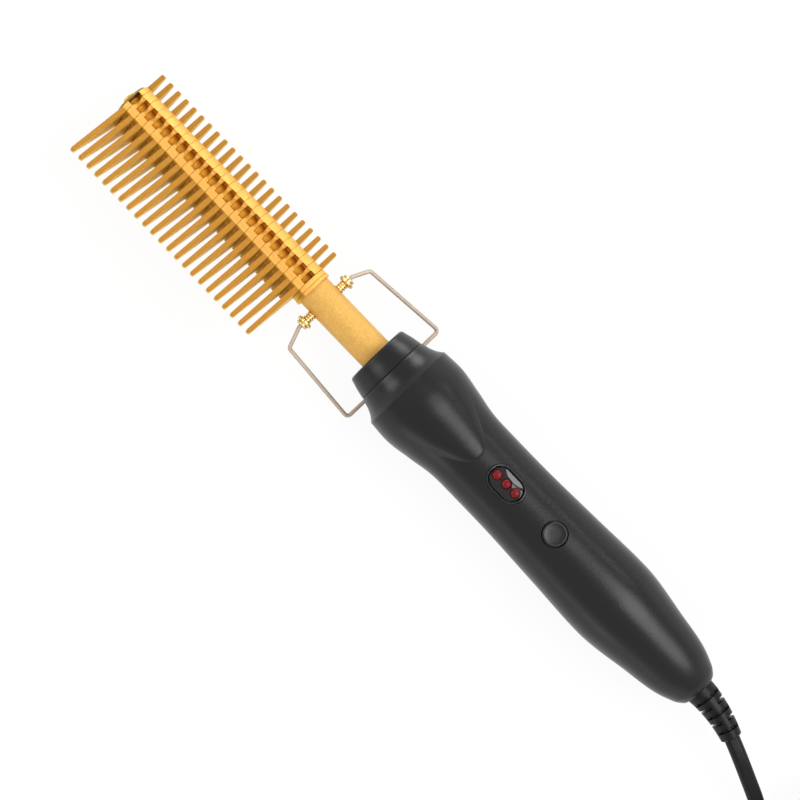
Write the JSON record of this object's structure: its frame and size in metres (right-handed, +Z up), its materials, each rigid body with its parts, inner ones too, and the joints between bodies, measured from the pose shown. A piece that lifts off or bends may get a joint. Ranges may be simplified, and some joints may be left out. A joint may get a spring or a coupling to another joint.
{
  "type": "hot comb",
  "caption": "Electric hot comb: cast comb segments with long and short teeth on a heated barrel, a folding wire stand, a contoured grip with lamps and a button, and a coiled mains lead.",
  "frame": {"origin": "on the table that the part lies on, under the middle of its box in plan, the lead and its plug left out", "axes": "+X from the grip to the comb's tip, +Y to the side of the long teeth, +Z up through the button"},
  "size_m": [0.4416, 0.0803, 0.0372],
  "materials": {
    "comb_metal": "gold-coloured satin coating",
    "tube_metal": "fine satin, gold-coloured",
    "stud_metal": "polished",
    "wire_metal": "bright, champagne-coloured",
    "dark_disc": "matte",
    "core_steel": "drawn",
    "heater_body": "fired ceramic",
    "heater_sleeving": "woven",
    "sensor_bead": "gloss",
    "seat_plastic": "heat-proof moulding",
    "nose_plastic": "satin",
    "grip_plastic": "soft satin",
    "screw_steel": "zinc plated",
    "board_laminate": "satin",
    "chip_plastic": "matte",
    "capacitor_case": "matte",
    "white_plastic": "satin",
    "lamp_red": "clear red",
    "window_plastic": "gloss",
    "bezel_plastic": "satin",
    "button_plastic": "satin",
    "fuse_metal": "bright",
    "core_insulation": "satin",
    "lead_rubber": "satin",
    "tie_plastic": "satin",
    "plug_rubber": "satin",
    "pin_metal": "nickel plated"
  },
  "bodies": {
    "grip": {"comb_segment_01": "comb_metal", "comb_segment_02": "comb_metal", "comb_segment_03": "comb_metal", "comb_segment_04": "comb_metal", "comb_segment_05": "comb_metal", "comb_segment_06": "comb_metal", "comb_segment_07": "comb_metal", "comb_segment_08": "comb_metal", "comb_segment_09": "comb_metal", "comb_segment_10": "comb_metal", "comb_segment_11": "comb_metal", "comb_segment_12": "comb_metal", "comb_segment_13": "comb_metal", "comb_segment_14": "comb_metal", "comb_segment_15": "comb_metal", "comb_segment_16": "comb_metal", "comb_segment_17": "comb_metal", "comb_segment_18": "comb_metal", "comb_segment_19": "comb_metal", "comb_segment_20": "comb_metal", "comb_segment_21": "comb_metal", "comb_segment_22": "comb_metal", "comb_segment_23": "comb_metal", "comb_flange": "comb_metal", "tip_screw": "comb_metal", "barrel": "tube_metal", "stand_studs": "stud_metal", "end_disc": "dark_disc", "core_tube": "core_steel", "heating_rod": "heater_body", "heater_leads": "heater_sleeving", "thermistor": "sensor_bead", "barrel_seat": "seat_plastic", "nose_cap": "nose_plastic", "upper_shell": "grip_plastic", "lower_shell": "grip_plastic", "shell_screws": "screw_steel", "small_screws": "screw_steel", "circuit_board": "board_laminate", "control_chip": "chip_plastic", "triac": "chip_plastic", "switch_housing": "chip_plastic", "film_capacitor": "capacitor_case", "led_seat": "white_plastic", "cord_clamp": "white_plastic", "led_lamps": "lamp_red", "light_window": "window_plastic", "window_bezel": "bezel_plastic", "thermal_fuse": "fuse_metal", "supply_leads": "core_insulation", "strain_relief": "lead_rubber", "lead_cord": "lead_rubber", "coiled_cord": "lead_rubber", "tail_cord": "lead_rubber", "cord_tie": "tie_plastic", "plug_body": "plug_rubber", "plug_pins": "pin_metal"},
    "stand": {"stand_wire": "wire_metal"},
    "button": {"power_button": "button_plastic", "switch_plunger": "white_plastic"}
  },
  "joints": [
    {"name": "stand_swing", "type": "hinge", "parent": "grip", "child": "stand", "pos_m": [0.05603, -0.00318, 0.0186], "axis": [0, -1, 0], "range_deg": [-2.5, 137]},
    {"name": "button_press", "type": "slide", "parent": "grip", "child": "button", "axis": [0, 0, -1], "range_m": [0, 0.0006], "stiffness_N_per_m": 2500, "springref_m": -0.0004}
  ]
}
